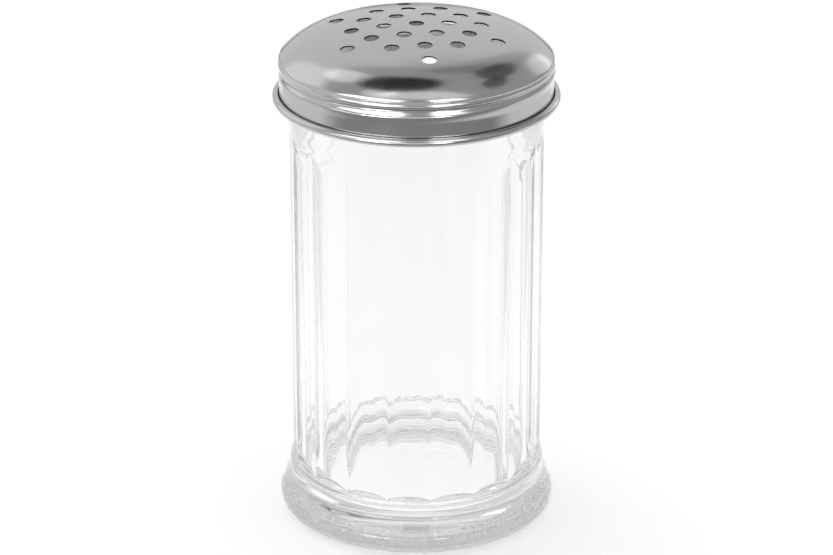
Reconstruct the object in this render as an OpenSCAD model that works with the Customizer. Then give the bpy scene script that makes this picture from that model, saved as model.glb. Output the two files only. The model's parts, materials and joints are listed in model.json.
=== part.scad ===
// Spice shaker: a fluted glass jar with a perforated steel lid that screws on.
// Millimetres, +Z up, origin at the centre of the foot on the table.

/* [Jar foot] */
// How far the foot stands out past the plain band
foot_flare = 3; // [2.6:0.05:3.6]
// Radius of the foot's lower edge
foot_edge_r = 3.8; // [3:0.1:4.2]
// Height of the upright band at the widest line
foot_band_h = 0.4; // [0.2:0.1:0.8]
// Radius that rounds the foot into its sloping flank
foot_round_r = 4; // [3:0.5:5]
// Slope of the flank, in degrees from upright
flank_angle = 28; // [26:1:34]
// How far the smooth collar above the flank stands out past the plain band
collar_flare = 0.25; // [0.1:0.05:0.6]
// Height at which the collar ends and the flutes begin
foot_h = 14.3; // [13.6:0.1:18]
// Width of the flat ring that touches the table
rest_w = 0.7; // [0.5:0.1:2]
// Height of the hollow under the base
push_up = 1.2; // [1:0.1:4]

/* [Jar body] */
// Height of the jar to the top of its mouth
jar_h = 130.5; // [110:0.5:170]
// Diameter of the plain band above the flutes, which the foot, the bore and the lid follow
band_d = 68.7; // [60:0.1:80]
// Height of the lower edge of the plain band, below the mouth
band_drop = 20.9; // [18:0.1:30]
// How far the ridges between the flutes stay inside the band
ridge_inset = 0.35; // [0.2:0.05:0.55]
// Thickness of the wall at the band, above a bore that is the same from floor to mouth
wall = 3.85; // [3.3:0.05:5]
// Height of the floor inside the jar
floor_z = 9.5; // [6:0.5:14]
// Radius between the floor and the wall inside
floor_round_r = 5.6; // [3:0.1:12]
// Radius of the rounded lip
lip_r = 1.2; // [0.6:0.1:1.6]

/* [Flutes] */
// Number of flutes around the body
flute_count = 18; // [16:1:20]
// Depth of each flute, ridge to hollow
flute_depth = 1.2; // [0.9:0.1:1.4]
// Radius of the hollow face of a flute
flute_r = 22; // [20:1:30]
// Height over which a flute grows shallow and ends under the plain band
flute_run_out = 4.5; // [1.5:0.1:8]
// Turn of the first ridge from straight ahead, in degrees
flute_turn = 6.6; // [0:0.2:20]

/* [Screw thread] */
// Rise of the thread in one turn
pitch = 4.233; // [3.6:0.001:4.6]
// Height of the glass thread above the neck
thread_h = 1.05; // [0.8:0.05:1.1]
// Height of the threaded part of the neck
finish_h = 8.2; // [8:0.1:9]
// Raise of the threaded sleeve above the plain neck
sleeve_rise = 0.15; // [0.1:0.01:0.2]
// Depth of the rolled groove that is the thread of the lid
groove_depth = 0.75; // [0.5:0.05:0.8]
// Height of the swell below the rolled groove
swell_h = 0.35; // [0.1:0.05:0.5]
// Drop of the rolled groove below the rim, on the +X side
groove_drop = 4.8; // [4.6:0.1:5]

/* [Lid] */
// Thickness of the steel sheet
sheet = 0.45; // [0.35:0.05:0.5]
// Gap between the plain neck and the inside of the skirt
skirt_gap = 1.5; // [1.5:0.05:2]
// How far the rim, where the dome turns into the skirt, stands out past the plain skirt
rim_swell = 0.15; // [0.05:0.05:0.35]
// How far the rolled edge stands out past the plain skirt
curl_reach = 1.8; // [1.6:0.05:2.2]
// Height of the skirt, rim to rolled edge
skirt_h = 9.8; // [9.4:0.1:11]
// Height of the plain ring below the thread
ring_h = 4.1; // [3.4:0.1:4.5]
// Radius of the knuckle at the rim
knuckle_r = 2.2; // [1.6:0.1:3]
// Radius of the dome's shoulder
shoulder_r = 21; // [18:0.5:24]
// Slope at which the knuckle meets the shoulder, in degrees
shoulder_angle = 44; // [40:1:48]
// Slope at which the shoulder meets the crown, in degrees
crown_angle = 12.5; // [11:0.5:15]
// Gap left between the lid and the lip of the jar
seat_gap = 0.3; // [0.25:0.05:0.6]

/* [Perforations] */
// Diameter of each hole
hole_d = 4; // [2:0.1:5]
// Distance between neighbouring holes
hole_pitch = 8.6; // [7:0.1:9]
// Rings of holes around the middle one
hole_rings = 2; // [1:1:2]
// Radius of the circle of outer holes
outer_circle_r = 22.8; // [22:0.1:24]
// Number of outer holes
outer_count = 6; // [3:1:8]
// Turn of the whole pattern, in degrees
hole_turn = 8.3; // [0:0.1:60]

/* [Hidden] */
$fn = 96;

// Steps in a rounded corner, and in the wide curves of the dome
corner_steps = 8;
curve_steps = 12;
// Facets around the threaded sleeves, and rows up them
thread_sides = 72;
neck_rows = 20;
skirt_rows = 15;
// How far one solid runs into the next where they are joined, and how far inside its faces
bury = 0.4;
tuck = 0.08;

band_r = band_d / 2;
foot_r = band_r + foot_flare;
ridge_r = band_r - ridge_inset;
bore_r = band_r - wall;
rest_r = foot_r - foot_edge_r;
band_z = jar_h - band_drop;

// The flutes leave this much wall, and the plain core stays just inside them
hollow_r = ridge_r - flute_depth;
core_r = hollow_r - 0.2;
flute_axis_r = hollow_r + flute_r;
flute_step = 360 / flute_count;

// The foot's flank starts where its rounding reaches the slope, and ends at the collar
foot_axis_r = foot_r - foot_round_r;
foot_wide_z = foot_edge_r + foot_band_h;
flank_r = foot_axis_r + foot_round_r * cos(flank_angle);
flank_z = foot_wide_z + foot_round_r * sin(flank_angle);
foot_top_r = band_r + collar_flare;
foot_top_z = flank_z + (flank_r - foot_top_r) / tan(flank_angle);

// The lid's radii
skirt_r = band_r + skirt_gap + sheet;
rim_r = skirt_r + rim_swell;
lid_r = skirt_r + curl_reach;
curl_r = (lid_r - skirt_r + sheet) / 2;
curl_axis_r = lid_r - curl_r;
curl_open = 70;

// The dome is three arcs that meet smoothly: knuckle, shoulder and crown
knuckle_axis_r = rim_r - knuckle_r;
shoulder_axis_r = knuckle_axis_r - (shoulder_r - knuckle_r) * sin(shoulder_angle);
crown_r = shoulder_r + shoulder_axis_r / sin(crown_angle);

// The lid sits with its shoulder over the outer edge of the lip
lip_axis_r = band_r - lip_r;
seat_reach = shoulder_r - sheet - seat_gap - lip_r;
seat_rise = sqrt(pow(seat_reach, 2) - pow(lip_axis_r - shoulder_axis_r, 2));
shoulder_axis_z = jar_h - lip_r - seat_rise;
rim_z = shoulder_axis_z + (shoulder_r - knuckle_r) * cos(shoulder_angle);
crown_axis_z = shoulder_axis_z - (crown_r - shoulder_r) * cos(crown_angle);
curl_z = rim_z - skirt_h;
ring_z = curl_z + ring_h;

// The dome ends in a short collar, and the threaded skirt is tucked up into it
collar_z = rim_z - 2 * bury;
skirt_top_z = collar_z + bury;

// The neck's threaded sleeve ends just under the rounded lip
neck_r = band_r + sleeve_rise;
neck_top_z = jar_h - lip_r - 0.1;
neck_low_z = neck_top_z - finish_h;

// Where the rolled groove of the lid and the glass thread start and end, in turns from +X
groove_z = rim_z - groove_drop;
groove_turns = [0.15, 1.1];
swell_turns = [0.6, 1.15];
glass_turns = [-0.65, 0.6];
glass_half = 0.31;

// A point of an arc, and the arc as a list of points
function on_arc(r, z, radius, angle) = [r + radius * cos(angle), z + radius * sin(angle)];
function arc(r, z, radius, from, to, steps) =
    [for (i = [0:steps]) on_arc(r, z, radius, from + (to - from) * i / steps)];

// A smooth step from 0 to 1, and a smooth bump of a given half width
function ease(x) = let (t = max(0, min(1, x))) t * t * (3 - 2 * t);
function bump(x, half) = abs(x) < half ? pow(cos(90 * x / half), 2) : 0;

// How far a point is above the groove's first turn, in turns of the thread
function turns_up(angle, z) = (z - groove_z) / pitch - angle / 360;

// A bump that follows the thread between two ends, lifted by a share of a turn
function thread_wave(angle, z, lift, half, ends, run_out) =
    let (up = turns_up(angle, z) - lift)
    max([for (turn = [-1:1])
        let (along = angle / 360 + turn)
        bump(up - turn, half)
            * ease((along - ends[0]) / run_out)
            * ease((ends[1] - along) / run_out)]);

// The radius of the neck with its raised thread
function neck_radius(angle, z) =
    neck_r + thread_h * thread_wave(angle, z, 0.5, glass_half, glass_turns, 0.12);

// The radius of the skirt with its rolled groove and the swell below it
function skirt_radius(angle, z) =
    let (
        from_ring = ease((z - ring_z) / 1.2),
        from_collar = ease((collar_z - z) / 1),
        groove = thread_wave(angle, z, 0, 0.5, groove_turns, 0.2),
        swell = thread_wave(angle, z, -0.5, 0.5, swell_turns, 0.25)
    )
    skirt_r + (rim_r - tuck - skirt_r) * ease((z - ring_z) / (collar_z - ring_z))
        + from_ring * from_collar * (swell_h * swell - groove_depth * groove);

// The sheet is thinned by the tuck where it runs up into the collar
function skirt_sheet(z) = sheet - 2 * tuck * ease((z - collar_z + 1) / 1);

// A round sleeve whose outer and inner radius follow a function of angle and height, with
// so many rows of facets outside and inside
module sleeve(low, high, rows, inner_rows, outer, inner) {
    n = thread_sides;
    start = n * (rows + 1);
    function at(i, j) = j * n + i % n;
    function side(radius, rows) = [
        for (j = [0:rows], i = [0:n - 1])
            let (a = 360 * i / n, z = low + (high - low) * j / rows, r = radius(a, z))
            [r * cos(a), r * sin(a), z]
    ];
    function skin(rows) = [
        for (j = [0:rows - 1], i = [0:n - 1], upper = [0, 1])
            upper == 0
                ? [at(i, j), at(i + 1, j + 1), at(i + 1, j)]
                : [at(i, j), at(i, j + 1), at(i + 1, j + 1)]
    ];
    function edge(i, outer_row, inner_row) =
        [at(i, outer_row), at(i + 1, outer_row), start + at(i + 1, inner_row), start + at(i, inner_row)];
    function turned(face) = [for (k = [len(face) - 1:-1:0]) face[k]];
    polyhedron(
        points = concat(side(outer, rows), side(inner, inner_rows)),
        faces = concat(
            skin(rows),
            [for (face = skin(inner_rows)) turned([for (k = face) start + k])],
            [for (i = [0:n - 1]) edge(i, 0, 0)],
            [for (i = [0:n - 1]) turned(edge(i, rows, inner_rows))]
        ),
        convexity = 6
    );
}

// Half section of the jar without its flutes and thread
module jar_section() {
    under_r = (pow(rest_r - rest_w, 2) + pow(push_up, 2)) / (2 * push_up);
    under_angle = asin((rest_r - rest_w) / under_r);
    lean = foot_top_r - core_r;
    polygon(concat(
        arc(0, push_up - under_r, under_r, 90, 90 - under_angle, curve_steps),
        arc(rest_r, foot_edge_r, foot_edge_r, -90, 0, corner_steps),
        arc(foot_axis_r, foot_wide_z, foot_round_r, 0, flank_angle, corner_steps),
        [[foot_top_r, foot_top_z]],
        [[foot_top_r, foot_h]],
        [[core_r, foot_h + lean]],
        [[core_r, band_z - flute_run_out]],
        [[band_r, band_z]],
        arc(lip_axis_r, jar_h - lip_r, lip_r, 0, 90, corner_steps),
        arc(bore_r + lip_r, jar_h - lip_r, lip_r, 90, 180, corner_steps),
        arc(bore_r - floor_round_r, floor_z + floor_round_r, floor_round_r, 0, -90, corner_steps),
        [[0, floor_z]]
    ));
}

// The fluted wall: a round wall with a hollow face between each two ridges
module fluted_wall() {
    translate([0, 0, foot_h - bury])
        linear_extrude(band_z + bury - foot_h + bury)
            difference() {
                circle(ridge_r);
                circle((bore_r + core_r) / 2);
                for (i = [0:flute_count - 1])
                    rotate(flute_turn - 90 + (i + 0.5) * flute_step)
                        translate([flute_axis_r, 0])
                            circle(flute_r);
            }
}

module glass_jar() {
    color([0.86, 0.9, 0.9, 0.4])
        union() {
            rotate_extrude() jar_section();
            fluted_wall();
            sleeve(
                neck_low_z, neck_top_z, neck_rows, 1,
                function(a, z) neck_radius(a, z),
                function(a, z) (bore_r + band_r) / 2
            );
        }
}

// Half section of the dome, down to where the threaded skirt begins
module dome_section() {
    inner_knuckle = knuckle_r - sheet;
    inner_shoulder = shoulder_r - sheet;
    inner_crown = crown_r - sheet;
    over_shoulder = 90 - shoulder_angle;
    over_crown = 90 - crown_angle;
    polygon(concat(
        [[rim_r - sheet, collar_z], [rim_r, collar_z]],
        arc(knuckle_axis_r, rim_z, knuckle_r, 0, over_shoulder, corner_steps),
        arc(shoulder_axis_r, shoulder_axis_z, shoulder_r, over_shoulder, over_crown, curve_steps),
        arc(0, crown_axis_z, crown_r, over_crown, 90, curve_steps),
        arc(0, crown_axis_z, inner_crown, 90, over_crown, curve_steps),
        arc(shoulder_axis_r, shoulder_axis_z, inner_shoulder, over_crown, over_shoulder, curve_steps),
        arc(knuckle_axis_r, rim_z, inner_knuckle, over_shoulder, 0, corner_steps)
    ));
}

// One hole, punched square to the crown at a place in plan
module perforation(place) {
    lean = asin(norm(place) / crown_r);
    translate([0, 0, crown_axis_z])
        rotate([0, 0, atan2(place[1], place[0])])
            rotate([0, lean, 0])
                translate([0, 0, crown_r - 2 * sheet])
                    cylinder(h = 3 * sheet, d = hole_d);
}

// The holes: rings on a triangular grid, and a circle of outer ones
module perforations() {
    rotate(hole_turn) {
        for (row = [-hole_rings:hole_rings], i = [-hole_rings:hole_rings])
            if (abs(row + i) <= hole_rings)
                perforation(hole_pitch * [i + row / 2, row * sqrt(3) / 2]);
        for (i = [0:outer_count - 1])
            let (a = 30 + 360 * i / outer_count)
                perforation(outer_circle_r * [cos(a), sin(a)]);
    }
}

module lid_cap() {
    color([0.72, 0.72, 0.72])
        union() {
            difference() {
                rotate_extrude() dome_section();
                perforations();
            }
            sleeve(
                ring_z, skirt_top_z, skirt_rows, skirt_rows,
                function(a, z) skirt_radius(a, z),
                function(a, z) skirt_radius(a, z) - skirt_sheet(z)
            );
        }
}

// Half section of the plain ring and the edge rolled outward below it
module ring_section() {
    inner_curl = curl_r - sheet;
    polygon(concat(
        [[skirt_r - sheet, ring_z], [skirt_r, ring_z]],
        arc(curl_axis_r, curl_z, inner_curl, 180, 540 - curl_open, 3 * corner_steps),
        arc(curl_axis_r, curl_z, curl_r, 540 - curl_open, 180, 3 * corner_steps)
    ));
}

module lid_ring() {
    color([0.68, 0.68, 0.69])
        rotate_extrude() ring_section();
}

glass_jar();
lid_cap();
lid_ring();
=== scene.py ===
# %% [markdown]
# # A spice shaker: fluted glass jar and perforated steel lid
# The shaker is two pieces. A clear glass jar with eighteen flutes stands on a flared foot, and a lid
# pressed from one sheet of stainless steel screws onto its neck. Spice falls through the holes in the
# domed lid when the shaker is turned over. This lesson models both pieces on top of a solid model that is
# already the right size, and then makes the two materials that carry the whole look: glass and polished
# steel.

# %% Load the solid model
import json
import math

import bmesh
import bpy
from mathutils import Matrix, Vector

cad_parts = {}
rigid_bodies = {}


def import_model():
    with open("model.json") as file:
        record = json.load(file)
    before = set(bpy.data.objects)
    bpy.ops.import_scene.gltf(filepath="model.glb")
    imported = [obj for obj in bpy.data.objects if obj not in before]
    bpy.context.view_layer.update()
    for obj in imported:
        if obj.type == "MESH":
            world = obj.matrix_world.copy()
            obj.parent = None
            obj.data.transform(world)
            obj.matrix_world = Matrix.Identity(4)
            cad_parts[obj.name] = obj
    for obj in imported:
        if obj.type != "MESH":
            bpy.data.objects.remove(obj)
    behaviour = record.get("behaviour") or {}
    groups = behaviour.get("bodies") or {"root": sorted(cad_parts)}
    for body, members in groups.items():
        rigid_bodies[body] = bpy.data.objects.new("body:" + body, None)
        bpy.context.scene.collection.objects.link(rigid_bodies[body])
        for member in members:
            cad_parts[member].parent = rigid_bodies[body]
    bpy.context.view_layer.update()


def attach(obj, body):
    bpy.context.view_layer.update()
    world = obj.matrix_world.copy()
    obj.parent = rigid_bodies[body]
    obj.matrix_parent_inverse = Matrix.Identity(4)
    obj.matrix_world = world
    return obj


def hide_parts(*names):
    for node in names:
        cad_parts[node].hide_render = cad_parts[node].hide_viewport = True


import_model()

# %% [markdown]
# ## Working in millimetres
# Blender counts in metres, but a drawing of a shaker is in millimetres. One factor turns the one into the
# other. Everything that Blender's operators touch is what is selected, so the first helper clears the
# selection, and the second starts edit mode on one object with nothing selected in it.

# %% Helpers for modelling
MM = 0.001


def clear_selection():
    """Leaves edit mode and deselects every object."""
    if bpy.context.object and bpy.context.object.mode != "OBJECT":
        bpy.ops.object.mode_set(mode="OBJECT")
    bpy.ops.object.select_all(action="DESELECT")


def take(piece):
    """Makes this piece the only one selected."""
    clear_selection()
    piece.select_set(True)
    bpy.context.view_layer.objects.active = piece
    return piece


def select_corners(piece, wanted):
    """Selects, in edit mode, only the vertices whose place in millimetres passes the test."""
    bpy.ops.mesh.select_all(action="DESELECT")
    mesh = bmesh.from_edit_mesh(piece.data)
    for corner in mesh.verts:
        corner.select_set(bool(wanted(corner.co / MM)))
    mesh.select_flush(True)
    bmesh.update_edit_mesh(piece.data)


def apply_modifier(piece, kind, **settings):
    """Adds a modifier with these settings and applies it, as its Apply button does."""
    take(piece)
    modifier = piece.modifiers.new(kind.title(), kind)
    for name, value in settings.items():
        setattr(modifier, name, value)
    bpy.ops.object.modifier_apply(modifier=modifier.name)


def faces_of(piece):
    """The number of triangles in a piece."""
    return sum(len(face.vertices) - 2 for face in piece.data.polygons)


clear_selection()
print("nothing is selected:", not bpy.context.selected_objects)

# %% [markdown]
# ## Turned shapes
# Jar and lid are both round, so each starts as half of its section and is spun about the upright axis,
# as on a lathe. The section is drawn the way it is drawn by hand: one vertex is placed, and each next
# one is extruded from it. Arcs are given by their centre, radius and angles, because the solid model
# is built from the same arcs. A sharp corner between two lines gets a small arc where the real thing
# is rounded, since melted glass never has a knife edge.

# %% Helpers for turned shapes
def arc(r, z, radius, start, end, steps):
    """Points of an arc about (r, z), in millimetres and degrees."""
    turns = [math.radians(start + (end - start) * i / steps) for i in range(steps + 1)]
    return [(r + radius * math.cos(a), z + radius * math.sin(a)) for a in turns]


def rounded(before, at, after, radius, steps=4):
    """Points of the arc that rounds the corner at one point, between lines to two others."""
    at, back, on = Vector(at), Vector(before) - Vector(at), Vector(after) - Vector(at)
    half = back.angle(on) / 2
    reach = min(radius / math.tan(half), 0.48 * back.length, 0.48 * on.length)
    radius = reach * math.tan(half)
    middle = at + (back.normalized() + on.normalized()).normalized() * (radius / math.sin(half))
    first, last = at + back.normalized() * reach - middle, at + on.normalized() * reach - middle
    sweep = first.angle_signed(last)
    turned = []
    for i in range(steps + 1):
        a = -sweep * i / steps
        turned.append(
            (
                middle.x + first.x * math.cos(a) - first.y * math.sin(a),
                middle.y + first.x * math.sin(a) + first.y * math.cos(a),
            )
        )
    return turned


def rows(start, end, count):
    """Even steps from one number to another, both ends included."""
    return [start + (end - start) * i / count for i in range(count + 1)]


def draw_section(name, points, azimuth=0.0):
    """Draws a half section as a chain of edges, in the upright plane at this azimuth."""
    clear_selection()
    across, along = math.cos(math.radians(azimuth)), math.sin(math.radians(azimuth))
    places = [Vector((r * across, r * along, z)) * MM for r, z in points]
    bpy.ops.mesh.primitive_plane_add(size=MM, location=(0, 0, 0))
    piece = bpy.context.object
    piece.name = piece.data.name = name
    bpy.ops.object.mode_set(mode="EDIT")
    bpy.ops.mesh.merge(type="CENTER")
    bpy.ops.transform.translate(value=places[0])
    for here, there in zip(places, places[1:]):
        bpy.ops.mesh.extrude_vertices_move(TRANSFORM_OT_translate={"value": there - here})
    bpy.ops.object.mode_set(mode="OBJECT")
    return piece


def spin_section(piece, columns):
    """Spins the section once round the upright axis and closes the seam and the poles."""
    take(piece)
    bpy.ops.object.mode_set(mode="EDIT")
    bpy.ops.mesh.select_all(action="SELECT")
    bpy.ops.mesh.spin(steps=columns, angle=math.tau, center=(0, 0, 0), axis=(0, 0, 1))
    bpy.ops.mesh.select_all(action="SELECT")
    bpy.ops.mesh.remove_doubles(threshold=0.002 * MM)
    bpy.ops.mesh.normals_make_consistent(inside=False)
    bpy.ops.object.mode_set(mode="OBJECT")


# %% [markdown]
# ## Pressed forms
# Flutes, threads and beads are pressed into a round wall. In Blender that is painted, not cut: a vertex
# group holds, for every vertex, how deep the mould reaches there, from 0 to 1, and a Displace modifier
# moves the wall along its normals by that share of the full depth. The mesh keeps its clean rows and
# columns, so glass bends light smoothly where a boolean cut would leave ragged faces.

# %% Helpers for pressed forms
def ease(x):
    """A smooth step from 0 to 1."""
    t = max(0.0, min(1.0, x))
    return t * t * (3 - 2 * t)


def soft_min(a, b, width):
    """The lesser of two numbers, with the corner between them rounded over this width."""
    h = max(width - abs(a - b), 0.0) / width
    return min(a, b) - h * h * width / 4


def azimuth_of(place):
    """The azimuth of a place, in degrees from the +X side."""
    return math.degrees(math.atan2(place.y, place.x))


def press(piece, name, depth, share):
    """Moves the piece's skin along its normals by depth in millimetres, times its share at each place."""
    group = piece.vertex_groups.new(name=name)
    touched = 0
    for corner in piece.data.vertices:
        weight = share(corner.co / MM)
        if weight > 1e-4:
            group.add([corner.index], min(weight, 1.0), "REPLACE")
            touched += 1
    apply_modifier(
        piece, "DISPLACE", strength=depth * MM, mid_level=0.0, direction="NORMAL", vertex_group=name
    )
    piece.vertex_groups.remove(piece.vertex_groups[name])
    print(f"{name}: {touched} vertices moved by up to {abs(depth)} mm")


# %% [markdown]
# ## The camera
# The shaker is seen from a little above, by a long lens from about a metre away, so its upright lines
# stay almost parallel. A long lens is what product pictures are made with: it keeps the round foot and
# the round lid in true proportion.

# %% Camera
CAMERA_PLACE, LOOK_AT = Vector((0.0, -0.8577, 0.4277)), Vector((0, 0, 0.06557))
LENS, SENSOR = 149.17, 36.0
bpy.ops.object.camera_add(location=CAMERA_PLACE)
camera = bpy.context.object
camera.name = "studio_camera"
camera.rotation_euler = (LOOK_AT - camera.location).to_track_quat("-Z", "Y").to_euler()
camera.data.lens = LENS
camera.data.sensor_width = SENSOR
camera.data.clip_start, camera.data.clip_end = 0.05, 20.0
bpy.context.scene.camera = camera
print("camera is", round(camera.location.length, 3), "m from the shaker")

# %% [markdown]
# ## The jar's section
# A shaker jar is blown in a two-part mould. Outside it has a ring to stand on, a heavy rounded foot with a
# thin bead where the parts of the mould meet, a sloping flank, a smooth collar, the fluted wall, a plain
# band and the neck. Inside it is a plain bore with a rounded floor, much thicker than the wall. The section
# runs from the middle of the underside, out and up, over the lip and down the bore to the middle of the
# floor. The wall between collar and band is drawn straight, with close rows at both ends, where the flutes
# will run out.

# %% Jar sizes, in millimetres
BAND_R, RIDGE_R, BORE_R = 34.35, 34.0, 30.5
FOOT_R, FOOT_EDGE, FOOT_WIDE_Z, FOOT_ROUND = 37.35, 3.8, 4.2, 4.0
FLANK, COLLAR_R, FOOT_TOP_Z = 28.0, 34.6, 14.3
REST_R, REST_WIDTH, PUSH_UP = 33.55, 0.7, 1.2
SEAM, SEAM_HEIGHT = 0.18, 1.44
COLLAR_ROUND, STEP_ROUND = 3.0, 1.0
FLOOR_Z, FLOOR_ROUND = 9.5, 5.6
JAR_TOP, LIP, BAND_Z = 130.5, 1.2, 109.6
NECK_R, NECK_LOW, NECK_TOP = 34.5, 121.0, 129.2

FOOT_AXIS_R = FOOT_R - FOOT_ROUND
FLANK_R = FOOT_AXIS_R + FOOT_ROUND * math.cos(math.radians(FLANK))
FLANK_Z = FOOT_WIDE_Z + FOOT_ROUND * math.sin(math.radians(FLANK))
COLLAR_Z = FLANK_Z + (FLANK_R - COLLAR_R) / math.tan(math.radians(FLANK))
FLUTE_LOW, FLUTE_HIGH = FOOT_TOP_Z + COLLAR_R - RIDGE_R, BAND_Z
LOW_RUN, HIGH_RUN, BAND_RUN = 2.0, 7.0, 4.5
RIPPLE_LOW, RIPPLE_RUN, RIPPLE_HIGH = 17, 7, FLUTE_HIGH - HIGH_RUN - 4
print("flutes run from", round(FLUTE_LOW, 2), "to", round(FLUTE_HIGH, 2), "mm")

# %% Jar section, spun
UNDER_R = ((REST_R - REST_WIDTH) ** 2 + PUSH_UP**2) / (2 * PUSH_UP)
UNDER_ANGLE = math.degrees(math.asin((REST_R - REST_WIDTH) / UNDER_R))
outside = arc(0, PUSH_UP - UNDER_R, UNDER_R, 90, 90 - UNDER_ANGLE, 14)
outside += arc(REST_R, FOOT_EDGE, FOOT_EDGE, -90, 0, 14)
outside += arc(FOOT_AXIS_R, FOOT_WIDE_Z, FOOT_ROUND, 0, FLANK, 8)
SEAM_STEPS = 12
for i in range(1, SEAM_STEPS):
    up = SEAM_HEIGHT / SEAM_STEPS * i
    bead = SEAM * math.sin(math.pi * i / SEAM_STEPS) ** 2
    outside.append((FLANK_R - up * math.tan(math.radians(FLANK)) + bead, FLANK_Z + up + bead / 3))
flank, collar = (FLANK_R, FLANK_Z), (COLLAR_R, COLLAR_Z)
step, ridge = (COLLAR_R, FOOT_TOP_Z), (RIDGE_R, FLUTE_LOW)
outside += rounded(flank, collar, step, COLLAR_ROUND, 6) + rounded(collar, step, ridge, STEP_ROUND)
outside += [(RIDGE_R, z) for z in rows(FLUTE_LOW + 0.1, FLUTE_LOW + LOW_RUN + 0.6, 16)]
outside += [(RIDGE_R, z) for z in rows(FLUTE_HIGH - HIGH_RUN - 0.6, FLUTE_HIGH - 0.1, 20)]
outside += [
    (RIDGE_R + (BAND_R - RIDGE_R) * ease(i / 10), FLUTE_HIGH + BAND_RUN * i / 10) for i in range(11)
]
neck = [(NECK_R, z) for z in rows(NECK_LOW, NECK_TOP, 34)]
lip = arc(BAND_R - LIP, JAR_TOP - LIP, LIP, 0, 90, 8)
lip += arc(BORE_R + LIP, JAR_TOP - LIP, LIP, 90, 180, 8)
inside = [
    (BORE_R, z)
    for z in rows(FLUTE_HIGH, RIPPLE_HIGH, 8) + rows(RIPPLE_LOW + RIPPLE_RUN, RIPPLE_LOW, 7)
]
inside += arc(BORE_R - FLOOR_ROUND, FLOOR_Z + FLOOR_ROUND, FLOOR_ROUND, 0, -90, 16)
inside += [(r, FLOOR_Z) for r in (18.0, 12.0, 6.0, 0.0)]

FLUTES, FLUTE_TURN = 18, 6.6
COLUMNS = FLUTES * 24
jar = draw_section("glass_fluted_jar", outside + neck + lip + inside, azimuth=FLUTE_TURN - 90)
spin_section(jar, COLUMNS)
print("jar:", len(jar.data.vertices), "vertices,", faces_of(jar), "triangles")

# %% [markdown]
# ## The flutes
# Each flute is a shallow hollow with the curve of a 44 mm cylinder, 1.2 mm deep, and two of them meet in
# a ridge that the fire has rounded. The hollows run out on a slope, quickly at the collar and over 7 mm
# below the band, so their ends are arcs. The depth is worked out for the angle round the jar, then limited
# near both ends. The bore is pressed too: blown glass follows the flutes a little on the inside.

# %% Press the flutes
FLUTE_DEPTH, FLUTE_RADIUS, RIPPLE = 1.2, 22.0, 0.4
RIDGE_ROUND, END_ROUND = 1.0, 0.3
FLUTE_AXIS = RIDGE_R - FLUTE_DEPTH + FLUTE_RADIUS
NEAR = 0.02  # a vertex this close to a radius, in millimetres, lies on it


def off_middle(place):
    """The angle from the middle of the nearest flute, in degrees."""
    step = 360 / FLUTES
    return (azimuth_of(place) - (FLUTE_TURN - 90)) % step - step / 2


def flute_share(place):
    """How much of the full flute depth belongs at a place on the wall."""
    if not FLUTE_LOW < place.z < FLUTE_HIGH or abs(place.xy.length - RIDGE_R) > NEAR:
        return 0.0
    a = math.radians(off_middle(place))
    face = FLUTE_AXIS * math.cos(a) - math.sqrt(FLUTE_RADIUS**2 - (FLUTE_AXIS * math.sin(a)) ** 2)
    depth = -soft_min(face - RIDGE_R, 0.0, RIDGE_ROUND)
    low, high = (place.z - FLUTE_LOW) / LOW_RUN, (FLUTE_HIGH - place.z) / HIGH_RUN
    ends = FLUTE_DEPTH * min(ease(low), ease(high))
    return max(0.0, soft_min(depth, ends, END_ROUND)) / FLUTE_DEPTH


def ripple_share(place):
    """How much of the ripple belongs at a place on the bore."""
    if abs(place.xy.length - BORE_R) > NEAR or not RIPPLE_LOW < place.z < FLUTE_HIGH:
        return 0.0
    low = (place.z - RIPPLE_LOW) / RIPPLE_RUN
    high = (FLUTE_HIGH - place.z) / (FLUTE_HIGH - RIPPLE_HIGH)
    wave = 0.5 + 0.5 * math.cos(math.radians(off_middle(place) * FLUTES))
    return min(ease(low), ease(high)) * wave


press(jar, "flutes", -FLUTE_DEPTH, flute_share)
press(jar, "ripple", RIPPLE, ripple_share)

# %% [markdown]
# ## The screw thread on the neck
# The glass thread is a low rounded ridge that climbs once and a quarter round the neck, 4.2 mm in a turn,
# and fades out at both ends so that the lid can find it. It is pressed outward with the same tool. One
# function says how far a place is above the thread, counted in turns, and the ridge is a smooth bump
# around zero.

# %% Press the thread
PITCH = 4.233
RIM_Z = 127.996
GROOVE_Z = RIM_Z - 4.8
THREAD_HEIGHT = 1.05


def thread_share(place, lift, half, ends, run_out):
    """A bump of the given half width that follows the thread between two ends, all in turns."""
    turn = azimuth_of(place) % 360 / 360
    up = (place.z - GROOVE_Z) / PITCH - turn - lift
    best = 0.0
    for whole in (-1, 0, 1):
        away = abs(up - whole)
        if away < half:
            along = turn + whole
            bump = math.cos(math.pi / 2 * away / half) ** 2
            best = max(best, bump * ease((along - ends[0]) / run_out) * ease((ends[1] - along) / run_out))
    return best


def neck_share(place):
    """The glass thread's share at a place on the neck."""
    if abs(place.xy.length - NECK_R) > NEAR or not NECK_LOW < place.z < NECK_TOP:
        return 0.0
    return thread_share(place, lift=0.5, half=0.31, ends=(-0.65, 0.6), run_out=0.12)


press(jar, "neck_thread", THREAD_HEIGHT, neck_share)
take(jar)
bpy.ops.object.shade_smooth()

# %% [markdown]
# ## The lid's section
# The lid starts as a disc of steel sheet 0.45 mm thick. A press draws it into a dome with a short skirt,
# rollers form the thread in the skirt, and the cut edge is curled outward so that it can't cut a finger.
# The section is the sheet's outer skin only: crown, shoulder, knuckle, skirt and curl. The thickness
# comes last, once the thread is pressed, because a real sheet is equally thick everywhere.

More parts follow.
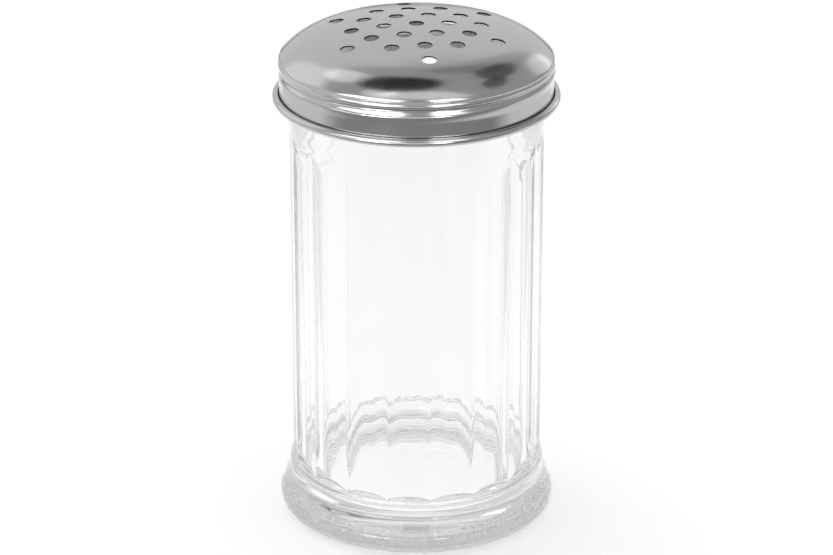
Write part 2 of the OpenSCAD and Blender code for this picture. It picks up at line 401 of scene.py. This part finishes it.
# %% Lid sizes, in millimetres
SHEET = 0.45
RIM_R, SKIRT_R, CURL_Z = 36.45, 36.3, 118.196
CROWN_R, CROWN_AXIS_Z, CROWN_EDGE = 118.90, 18.89, 12.5
SHOULDER_R, SHOULDER_AXIS_R, SHOULDER_AXIS_Z, SHOULDER_EDGE = 21.0, 21.190, 114.47, 44.0
KNUCKLE = 2.2
CURL_AXIS_R, CURL_R = 36.975, 1.125
RING_Z = CURL_Z + 4.1
CREASE_Z, CREASE_HALF, CREASE_DEPTH = RIM_Z + 0.15, 0.55, 0.28
SWELL_HEIGHT, GROOVE_DEPTH = 0.35, 0.75
print("skirt is", round(RIM_Z - CURL_Z, 2), "mm tall")

# %% Lid section, spun
dome = arc(0, CROWN_AXIS_Z, CROWN_R, 90, 90 - CROWN_EDGE, 26)
dome += arc(SHOULDER_AXIS_R, SHOULDER_AXIS_Z, SHOULDER_R, 90 - CROWN_EDGE, 90 - SHOULDER_EDGE, 14)[1:]
dome += arc(RIM_R - KNUCKLE, RIM_Z, KNUCKLE, 90 - SHOULDER_EDGE, 0, 16)[1:]
skirt = [
    (SKIRT_R + (RIM_R - SKIRT_R) * ease((z - RING_Z) / (RIM_Z - RING_Z)), z)
    for z in rows(RIM_Z - 0.15, RING_Z, 36) + rows(RING_Z - 0.4, CURL_Z + 0.2, 9)
]
curl = arc(CURL_AXIS_R, CURL_Z, CURL_R - SHEET, 180, 470, 26)

lid = draw_section("steel_perforated_lid", dome + skirt + curl)
spin_section(lid, 288)
print("lid skin:", len(lid.data.vertices), "vertices")

# %% [markdown]
# ## Which way is out?
# An open sheet has no inside, so recalculating its normals can leave them pointing either way. The press
# and the thickness both follow the normals, so they are checked on the top of the dome, and the sheet is
# turned over if they point down.

# %% Turn the sheet the right way
top_face = max(lid.data.polygons, key=lambda face: face.center.z)
if top_face.normal.z < 0:
    take(lid)
    bpy.ops.object.mode_set(mode="EDIT")
    bpy.ops.mesh.select_all(action="SELECT")
    bpy.ops.mesh.flip_normals()
    bpy.ops.object.mode_set(mode="OBJECT")
print("dome's normal points up:", max(lid.data.polygons, key=lambda face: face.center.z).normal.z > 0)

# %% [markdown]
# ## The rolled thread
# The press first leaves a shallow crease all round, where the dome ends and the skirt begins. The lid's
# thread is a groove rolled in from outside, which shows as a ridge inside, and the metal beside it swells
# out a little where the roller pushed it. Groove and swell follow the same climb as the glass thread.

# %% Roll the thread
ROLLED_TOP, FADE_LOW, FADE_HIGH = RIM_Z - 0.8, 1.2, 1.0


def skirt_band(place):
    """1 on the threaded part of the skirt, fading to 0 at the knuckle and at the plain ring."""
    if place.xy.length < SKIRT_R - 0.3 or not RING_Z < place.z < ROLLED_TOP:
        return 0.0
    return ease((place.z - RING_Z) / FADE_LOW) * ease((ROLLED_TOP - place.z) / FADE_HIGH)


def swell_share(place):
    """The swell's share at a place on the skirt."""
    band = skirt_band(place)
    return band and band * thread_share(place, lift=-0.45, half=0.5, ends=(0.6, 1.15), run_out=0.25)


def groove_share(place):
    """The groove's share at a place on the skirt."""
    band = skirt_band(place)
    return band and band * thread_share(place, lift=0.1, half=0.5, ends=(0.15, 1.1), run_out=0.2)


def crease_share(place):
    """The share of the crease that the press leaves all round between the dome and the skirt."""
    if place.xy.length < SKIRT_R - 1.2:
        return 0.0
    return math.cos(math.pi / 2 * min(1.0, abs(place.z - CREASE_Z) / CREASE_HALF)) ** 2


press(lid, "crease", -CREASE_DEPTH, crease_share)
press(lid, "swell", SWELL_HEIGHT, swell_share)
press(lid, "groove", -GROOVE_DEPTH, groove_share)

# %% [markdown]
# ## The thickness of the sheet
# So far the lid is only its outer skin. Solidify adds an inner skin 0.45 mm inside it and closes the cut edge
# of the curl. Even thickness keeps the wall the same in the tight curl and in the groove.

# %% Give the sheet its thickness
apply_modifier(lid, "SOLIDIFY", thickness=SHEET * MM, offset=-1.0, use_even_offset=True)
print("lid sheet:", faces_of(lid), "triangles")

# %% [markdown]
# ## The perforations
# Twenty-five holes of 4 mm are punched square to the dome: nineteen on a triangular grid and six more in
# a circle around them. A punch drags the sheet's upper edge down a little, so each hole has a soft lip
# above and a crisp edge below. One punch is modelled, with a flared shoulder that leaves that lip, and is
# copied to every place. All the punches then cut the dome together in one Boolean.

# %% Model one punch
HOLE_D, HOLE_PITCH, HOLE_TURN, OUTER_R = 4.0, 8.6, 8.3, 22.8
PUNCH_LENGTH, PUNCH_MIDDLE_Z = 1.0, -0.65
PUNCH_STEPS = ((0.1, 0.0), (0.55, 0.55))  # how far each step rises, and how much wider it ends
clear_selection()
bpy.ops.mesh.primitive_cylinder_add(
    vertices=40, radius=HOLE_D / 2 * MM, depth=PUNCH_LENGTH * MM, location=(0, 0, PUNCH_MIDDLE_Z * MM)
)
punch = bpy.context.object
punch.name = "punch"
bpy.ops.object.transform_apply(location=True, rotation=False, scale=False)
bpy.ops.object.mode_set(mode="EDIT")
select_corners(punch, lambda place: place.z > PUNCH_MIDDLE_Z)
radius = HOLE_D / 2
for rise, wider in PUNCH_STEPS:
    bpy.ops.mesh.extrude_region_move(TRANSFORM_OT_translate={"value": (0, 0, rise * MM)})
    grow = (radius + wider) / radius
    bpy.ops.transform.resize(value=(grow, grow, 1), center_override=(0, 0, 0))
    radius += wider
bpy.ops.mesh.select_all(action="SELECT")
bpy.ops.mesh.normals_make_consistent(inside=False)
bpy.ops.object.mode_set(mode="OBJECT")
print("punch: top at", round(max(v.co.z for v in punch.data.vertices) / MM, 2), "mm")

# %% Copy the punch to every hole
grid = [
    HOLE_PITCH * Vector((i + row / 2, row * math.sqrt(3) / 2))
    for row in range(-2, 3)
    for i in range(-2, 3)
    if abs(row + i) <= 2
]
grid += [
    OUTER_R * Vector((math.cos(math.radians(a)), math.sin(math.radians(a)))) for a in range(30, 390, 60)
]
for place in grid:
    take(punch)
    bpy.ops.object.duplicate()
    copy = bpy.context.object
    azimuth = math.atan2(place.y, place.x) + math.radians(HOLE_TURN)
    lean = math.asin(place.length / CROWN_R)
    copy.rotation_euler = (0, lean, azimuth)
    onto_dome = copy.rotation_euler.to_matrix() @ Vector((0, 0, CROWN_R * MM))
    copy.location = onto_dome + Vector((0, 0, CROWN_AXIS_Z * MM))
    copy.name = "punch_placed"
clear_selection()
bpy.data.objects.remove(punch)
placed = [o for o in bpy.context.scene.objects if o.name.startswith("punch_placed")]
for one in placed:
    one.select_set(True)
bpy.context.view_layer.objects.active = placed[0]
bpy.ops.object.join()
punches = bpy.context.object
bpy.ops.object.transform_apply(location=True, rotation=True, scale=True)
print("holes to punch:", len(grid))

# %% Punch the holes
apply_modifier(lid, "BOOLEAN", operation="DIFFERENCE", object=punches, solver="EXACT")
bpy.data.objects.remove(punches)
take(lid)
bpy.ops.object.shade_smooth_by_angle(angle=math.radians(30))
print("lid:", faces_of(lid), "triangles")

# %% [markdown]
# ## Colours and nodes
# Colours are picked as sRGB hex values, which is how a paint or glass sample is read off a screen, and one
# function turns them to the linear values that Blender's shaders use. A second function adds a node with
# its settings and its inputs. A third turns a size in millimetres to a pattern's scale.

# %% Helpers for materials
def linear(code):
    """An sRGB hex colour as linear red, green, blue and 1."""
    parts = [int(code[i : i + 2], 16) / 255 for i in (1, 3, 5)]
    return (*[p / 12.92 if p <= 0.04045 else ((p + 0.055) / 1.055) ** 2.4 for p in parts], 1.0)


def scale_for(millimetres):
    """The scale that repeats a pattern about once in this many millimetres."""
    return 1 / (millimetres * MM)


def start_material(name):
    """A new node material, its tree, and its Principled shader."""
    material = bpy.data.materials.new(name)
    material.use_nodes = True
    tree = material.node_tree
    return material, tree, tree.nodes["Principled BSDF"]


def add_node(tree, kind, inputs=None, **settings):
    """Adds a node. Inputs take sockets or plain values. Settings are its properties, or inputs by name."""
    node = tree.nodes.new(kind)
    for name, value in settings.items():
        if hasattr(node, name):
            setattr(node, name, value)
        else:
            node.inputs[name.replace("_", " ")].default_value = value
    for name, value in (inputs or {}).items():
        if isinstance(value, bpy.types.NodeSocket):
            tree.links.new(value, node.inputs[name])
        else:
            node.inputs[name].default_value = value
    return node


def set_ramp(node, stops):
    """Gives a Color Ramp these stops, each a place and a grey tone."""
    ramp = node.color_ramp
    while len(ramp.elements) < len(stops):
        ramp.elements.new(1.0)
    for stop, (where, tone) in zip(ramp.elements, stops):
        stop.position, stop.color = where, (tone, tone, tone, 1)


# %% [markdown]
# ## Soda-lime glass, blown and fire polished
# Bottles, tumblers and jars are soda-lime glass. Its IOR is about 1.52. The mould leaves the surface very
# slightly wavy, with waves a centimetre or so long, and the flame melts away every finer mark, so it shines
# like water. Wiping leaves faint smears, which show only as a change of gloss. The thick base is a little
# darker than the wall, because glass absorbs some of the light on its way through, and that is the volume's
# work.

# %% Glass: colour, depth, waves and smears
glass, tree, shader = start_material("soda_lime_glass")
shader.inputs["Base Color"].default_value = linear("#FDFDFD")
shader.inputs["IOR"].default_value = 1.52
shader.inputs["Transmission Weight"].default_value = 1.0
depth = add_node(tree, "ShaderNodeVolumeAbsorption", Color=linear("#E8E9E9"), Density=11.0)
tree.links.new(depth.outputs["Volume"], tree.nodes["Material Output"].inputs["Volume"])

place = add_node(tree, "ShaderNodeTexCoord").outputs["Object"]
tall = add_node(tree, "ShaderNodeMapping", {"Vector": place}, Scale=(1, 1, 0.35)).outputs["Vector"]
waves = add_node(
    tree, "ShaderNodeTexNoise", {"Vector": tall}, Scale=scale_for(11), Detail=1.0, Roughness=0.4
)
wavy = add_node(tree, "ShaderNodeBump", {"Height": waves.outputs["Fac"]}, Strength=1.0, Distance=0.05 * MM)
smears = add_node(
    tree, "ShaderNodeTexNoise", {"Vector": place}, Scale=scale_for(14), Detail=5.0, Roughness=0.6
)
gloss = add_node(
    tree, "ShaderNodeMapRange", {"Value": smears.outputs["Fac"]},
    From_Min=0.45, From_Max=0.75, To_Min=0.0, To_Max=0.035,
)
print("glass: waves", wavy.inputs["Distance"].default_value / MM, "mm deep")

# %% [markdown]
# ## The ring that the jar stands on
# The flame doesn't reach the underside, so the ring there keeps the mould's fine stipple and is frosted by
# wear. Its dimples are drawn 0.9 mm apart, which is coarser than real ones, so that they show. The ring is
# found by its place: low down, and outside the hollow of the base.

# %% Glass: the frosted ring
FROSTED = 0.55
parts = add_node(tree, "ShaderNodeSeparateXYZ", {"Vector": place})
flat = add_node(tree, "ShaderNodeMapping", {"Vector": place}, Scale=(1, 1, 0)).outputs["Vector"]
reach = add_node(tree, "ShaderNodeVectorMath", {0: flat}, operation="LENGTH")
outer = add_node(
    tree, "ShaderNodeMapRange", {"Value": reach.outputs["Value"]},
    From_Min=24.0 * MM, From_Max=25.0 * MM, To_Min=0.0, To_Max=1.0,
)
lower = add_node(
    tree, "ShaderNodeMapRange", {"Value": parts.outputs["Z"]},
    From_Min=2.7 * MM, From_Max=3.4 * MM, To_Min=1.0, To_Max=0.0,
)
worn = add_node(
    tree, "ShaderNodeMath", {0: outer.outputs["Result"], 1: lower.outputs["Result"]}, operation="MULTIPLY"
).outputs["Value"]
frost = add_node(tree, "ShaderNodeMath", {0: worn, 1: FROSTED}, operation="MULTIPLY")
rough = add_node(
    tree, "ShaderNodeMath", {0: gloss.outputs["Result"], 1: frost.outputs["Value"]}, operation="MAXIMUM"
)
tree.links.new(rough.outputs["Value"], shader.inputs["Roughness"])

dimples = add_node(tree, "ShaderNodeTexVoronoi", {"Vector": place}, Scale=scale_for(0.9))
dents = add_node(tree, "ShaderNodeMath", {0: dimples.outputs["Distance"], 1: worn}, operation="MULTIPLY")
stipple = add_node(
    tree, "ShaderNodeBump", {"Height": dents.outputs["Value"], "Normal": wavy.outputs["Normal"]},
    Strength=1.0, Distance=0.25 * MM,
)
tree.links.new(stipple.outputs["Normal"], shader.inputs["Normal"])
jar.data.materials.clear()
jar.data.materials.append(glass)
print("glass nodes:", len(tree.nodes))

# %% [markdown]
# ## Stainless steel sheet, pressed and buffed
# The lid is 18/8 stainless, buffed after pressing: a neutral grey metal that mirrors its surroundings with
# a slight haze. The press leaves long shallow waves, the buffing leaves a fine grain, drawn 0.7 mm coarse so
# that it shows, and use leaves duller patches.

# %% Steel: waves, grain and patches
steel, tree, shader = start_material("buffed_stainless_steel")
shader.inputs["Metallic"].default_value = 1.0
coordinates = add_node(tree, "ShaderNodeTexCoord")
place = coordinates.outputs["Object"]
waves = add_node(
    tree, "ShaderNodeTexNoise", {"Vector": place}, Scale=scale_for(9), Detail=1.5, Roughness=0.5
)
grain = add_node(
    tree, "ShaderNodeTexNoise", {"Vector": place}, Scale=scale_for(0.7), Detail=3.0, Roughness=0.6
)
wavy = add_node(tree, "ShaderNodeBump", {"Height": waves.outputs["Fac"]}, Strength=1.0, Distance=0.03 * MM)
fine = add_node(
    tree, "ShaderNodeBump", {"Height": grain.outputs["Fac"], "Normal": wavy.outputs["Normal"]},
    Strength=1.0, Distance=0.0015 * MM,
)
tree.links.new(fine.outputs["Normal"], shader.inputs["Normal"])
patches = add_node(
    tree, "ShaderNodeTexNoise", {"Vector": place}, Scale=scale_for(7), Detail=6.0, Roughness=0.65
)
gloss = add_node(
    tree, "ShaderNodeMapRange", {"Value": patches.outputs["Fac"]},
    From_Min=0.3, From_Max=0.7, To_Min=0.1, To_Max=0.2,
)
print("steel: grain", fine.inputs["Distance"].default_value / MM, "mm deep")

# %% [markdown]
# ## The punched walls of the holes, with painted shade
# The buffing wheel doesn't reach the walls of the holes, where the punch tore through the sheet, so they
# stay matt, and their dark colour is painted shade for the inside of each hole, which makes it look crisp.
# The walls could get a material of their own. Here a mask does it: seen from the middle of the crown's
# sphere, the dome faces straight out and the walls face sideways, and the radius keeps the mask off the
# skirt.

# %% Steel: the hole walls, matt and with painted shade
UNBUFFED = 0.5
from_middle = add_node(tree, "ShaderNodeMapping", {"Vector": place}, Location=(0, 0, -CROWN_AXIS_Z * MM))
outward = add_node(tree, "ShaderNodeVectorMath", {0: from_middle.outputs["Vector"]}, operation="NORMALIZE")
facing = add_node(
    tree, "ShaderNodeVectorMath", {0: outward.outputs["Vector"], 1: coordinates.outputs["Normal"]},
    operation="DOT_PRODUCT",
)
either_way = add_node(tree, "ShaderNodeMath", {0: facing.outputs["Value"]}, operation="ABSOLUTE")
sideways = add_node(
    tree, "ShaderNodeMapRange", {"Value": either_way.outputs["Value"]},
    From_Min=0.4, From_Max=0.7, To_Min=1.0, To_Max=0.0,
)
flat = add_node(tree, "ShaderNodeMapping", {"Vector": place}, Scale=(1, 1, 0)).outputs["Vector"]
reach = add_node(tree, "ShaderNodeVectorMath", {0: flat}, operation="LENGTH")
on_crown = add_node(
    tree, "ShaderNodeMapRange", {"Value": reach.outputs["Value"]},
    From_Min=25.5 * MM, From_Max=26.0 * MM, To_Min=1.0, To_Max=0.0,
)
shaded_matt_walls = add_node(
    tree, "ShaderNodeMath", {0: sideways.outputs["Result"], 1: on_crown.outputs["Result"]},
    operation="MULTIPLY",
).outputs["Value"]
# Painted shade: the hole walls turn from the steel's grey to near black, for the shade inside the holes.
colour = add_node(tree, "ShaderNodeValToRGB", {"Fac": shaded_matt_walls})
colour.color_ramp.elements[0].color = linear("#CBCAC8")
colour.color_ramp.elements[1].color = linear("#3E3C3A")
tree.links.new(colour.outputs["Color"], shader.inputs["Base Color"])
matt = add_node(tree, "ShaderNodeMath", {0: shaded_matt_walls, 1: UNBUFFED}, operation="MULTIPLY")
rough = add_node(
    tree, "ShaderNodeMath", {0: gloss.outputs["Result"], 1: matt.outputs["Value"]}, operation="MAXIMUM"
)
tree.links.new(rough.outputs["Value"], shader.inputs["Roughness"])
lid.data.materials.clear()
lid.data.materials.append(steel)
print("steel nodes:", len(tree.nodes))

# %% [markdown]
# ## Two pieces that move as the shaker does
# The glass stands still and the lid rides on the turning, rising body of the screw. The lid's plain ring
# is part of the same sheet, and being round it looks right at every turn.

# %% Tie the pieces to the bodies
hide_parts("glass_jar")
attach(jar, "jar")
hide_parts("lid_cap", "lid_ring")
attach(lid, "lid")
print("pieces:", jar.name, "and", lid.name)

# %% [markdown]
# ## An opal table, lit from below
# Clear glass shows by its edges, which gather whatever is dark around the table. So the table is opal plastic
# lit from below: white around and behind the shaker, and greyer in front and far to the sides, where only the
# edges of the glass and the lid's ring see it. Where the light comes through is a patch, found by its place,
# and a ramp over the distance from the middle makes up for the light that the thick base takes away.

# %% Table and its lit patch
LIT_Y, UNLIT_Y = -0.045, -0.16
WIDENS = 0.13  # metres that each side of the patch moves out for every metre behind the shaker
clear_selection()
bpy.ops.mesh.primitive_plane_add(size=3.0, location=(0, 0, 0))
floor = bpy.context.object
floor.name = "table_top"
opal, tree, shader = start_material("opal_table")
place = add_node(tree, "ShaderNodeTexCoord").outputs["Object"]
parts = add_node(tree, "ShaderNodeSeparateXYZ", {"Vector": place})
front = add_node(
    tree, "ShaderNodeMapRange", {"Value": parts.outputs["Y"]},
    From_Min=UNLIT_Y, From_Max=LIT_Y, To_Min=0.0, To_Max=1.0,
).outputs["Result"]
across = add_node(tree, "ShaderNodeMath", {0: parts.outputs["X"]}, operation="ABSOLUTE")
wedge = add_node(
    tree, "ShaderNodeMath", {0: parts.outputs["Y"], 1: -WIDENS, 2: across.outputs["Value"]},
    operation="MULTIPLY_ADD",
)
sides = add_node(
    tree, "ShaderNodeMapRange", {"Value": wedge.outputs["Value"]},
    From_Min=0.125, From_Max=0.170, To_Min=1.0, To_Max=0.55,
)
patch = add_node(
    tree, "ShaderNodeMath", {0: front, 1: sides.outputs["Result"]}, operation="MULTIPLY"
).outputs["Value"]
print("the lit patch ends", -UNLIT_Y, "m in front of the shaker")

# %% Table: light and colour
PALER_WHERE_LIT = 0.14
middle = add_node(tree, "ShaderNodeVectorMath", {0: place}, operation="LENGTH")
glow = add_node(tree, "ShaderNodeValToRGB", {"Fac": middle.outputs["Value"]})
set_ramp(glow, [(0.0, 0.78), (0.024, 0.76), (0.031, 0.45), (0.09, 0.475), (0.45, 0.47)])
lit = add_node(tree, "ShaderNodeMath", {0: patch, 1: glow.outputs["Color"]}, operation="MULTIPLY")
tree.links.new(lit.outputs["Value"], shader.inputs["Emission Strength"])
# The table's colour is painted too: greyer in front as painted shade, and paler on the lit patch as painted
# light.
pale = add_node(tree, "ShaderNodeMapRange", {"Value": front}, To_Min=0.44, To_Max=0.76)
painted_table_tone = add_node(
    tree, "ShaderNodeMath", {0: patch, 1: PALER_WHERE_LIT, 2: pale.outputs["Result"]},
    operation="MULTIPLY_ADD",
)
tree.links.new(painted_table_tone.outputs["Value"], shader.inputs["Base Color"])
shader.inputs["Emission Color"].default_value = (1, 1, 1, 1)
shader.inputs["Roughness"].default_value = 0.8
floor.data.materials.append(opal)
print("table nodes:", len(tree.nodes))

# %% [markdown]
# ## A soft room
# Polished steel looks like whatever it mirrors, so the room is painted for the lid. It is one slanted
# gradient, pale behind and grey in front, and dark under the table's edge. A few soft cards hang in it.
# Each is given by its direction, its half widths and how many times as bright as the room it is.

# %% The room
world = bpy.data.worlds.new("studio_room")
bpy.context.scene.world = world
world.use_nodes = True
tree = world.node_tree
toward = add_node(tree, "ShaderNodeTexCoord").outputs["Generated"]
slant = add_node(tree, "ShaderNodeVectorMath", {0: toward, 1: (-0.51, 0.66, -0.56)}, operation="DOT_PRODUCT")
along = add_node(tree, "ShaderNodeMapRange", {"Value": slant.outputs["Value"]}, From_Min=-1.0, From_Max=1.0)
tones = add_node(tree, "ShaderNodeValToRGB", {"Fac": along.outputs["Result"]})
set_ramp(tones, [(0.0, 0.40), (0.45, 0.42), (0.52, 0.48), (0.57, 0.72), (0.66, 0.73), (1.0, 0.75)])
tree.links.new(tones.outputs["Color"], tree.nodes["Background"].inputs["Color"])
parts = add_node(tree, "ShaderNodeSeparateXYZ", {"Vector": toward})
strength = add_node(
    tree, "ShaderNodeMapRange", {"Value": parts.outputs["Z"]},
    From_Min=-0.06, From_Max=0.0, To_Min=0.12, To_Max=1.0,
).outputs["Result"]
CARDS = (
    ((-0.12, 0.13, 0.98), (0.31, 0.24, 0.30), 0.08),
    ((-0.30, -0.09, 0.95), (0.17, 0.10, 0.30), 2.20),
    ((0.10, -0.20, 0.97), (0.50, 0.12, 0.30), 2.20),
    ((0.42, 0.48, 0.75), (0.15, 0.22, 0.20), 0.30),
    ((0.60, 0.72, 0.31), (0.20, 0.20, 0.26), 1.95),
    ((-0.74, 0.48, 0.42), (0.36, 0.34, 0.48), 1.34),
    ((-0.40, 0.36, 0.82), (0.17, 0.17, 0.20), 2.10),
    ((0.54, 0.24, 0.81), (0.10, 0.16, 0.15), 0.25),
    ((0.24, 0.55, 0.80), (0.22, 0.12, 0.20), 0.68),
)
for direction, half_widths, times in CARDS:
    local = add_node(
        tree, "ShaderNodeMapping", {"Vector": toward},
        vector_type="TEXTURE", Location=direction, Scale=half_widths,
    )
    away = add_node(tree, "ShaderNodeVectorMath", {0: local.outputs["Vector"]}, operation="LENGTH")
    card = add_node(
        tree, "ShaderNodeMapRange", {"Value": away.outputs["Value"]},
        From_Min=0.80, From_Max=1.10, To_Min=times, To_Max=1.0,
    )
    strength = add_node(
        tree, "ShaderNodeMath", {0: strength, 1: card.outputs["Result"]}, operation="MULTIPLY"
    ).outputs["Value"]
tree.links.new(strength, tree.nodes["Background"].inputs["Strength"])
print("cards in the room:", len(CARDS))

# %% [markdown]
# ## Windows and softboxes
# Two low windows and a pale wall give the skirt its bright bands, and two softboxes brighten the dome. Each
# stands on a circle round the shaker and faces it. They show in reflections but don't light the table. The
# light overhead does the opposite, because its mirror image would burn out the dome.

# %% Lights
def softbox(name, place, aim, size, watts, mirrored):
    """A soft light at a place, turned to a point. It either shows in reflections or lights dull surfaces."""
    clear_selection()
    bpy.ops.object.light_add(type="AREA", location=place)
    light = bpy.context.object
    light.name = name
    light.rotation_euler = (Vector(aim) - Vector(place)).to_track_quat("-Z", "Y").to_euler()
    light.data.shape = "RECTANGLE"
    light.data.size, light.data.size_y = size
    light.data.energy = watts
    light.visible_camera = False
    light.visible_glossy, light.visible_diffuse = mirrored, not mirrored


softbox("top_light", (0.0, 0.35, 1.3), (0, 0.15, 0), (1.6, 1.4), 4, mirrored=False)
for name, turn, far, width, low, high, watts_per_square_metre in (
    ("left_window", -33, 2.0, 0.85, -0.05, 0.35, 16.0),
    ("right_window", 20, 2.0, 0.46, -0.05, 0.35, 16.0),
    ("left_softbox", -42, 1.0, 1.1, 0.62, 1.75, 5.5),
    ("right_softbox", 28, 1.0, 0.55, 0.62, 1.75, 5.5),
    ("pale_wall", -27, 2.6, 5.4, -0.02, 0.55, 4.5),
):
    a, level, height = math.radians(turn), (low + high) / 2, high - low
    place = (far * math.sin(a), -far * math.cos(a), level)
    watts = watts_per_square_metre * width * height
    softbox(name, place, (0, 0, level), (width, height), watts, mirrored=True)

# %% [markdown]
# ## How far light is followed
# Light crosses four surfaces of glass before it reaches the eye, and at the edges it is thrown to and fro
# inside the wall, so it is followed through many bounces. The Standard view transform keeps a white table
# white.

# %% Light paths
cycles = bpy.context.scene.cycles
cycles.max_bounces, cycles.glossy_bounces, cycles.transmission_bounces = 32, 24, 32
bpy.context.scene.view_settings.view_transform = "Standard"
print("bounces:", cycles.max_bounces)
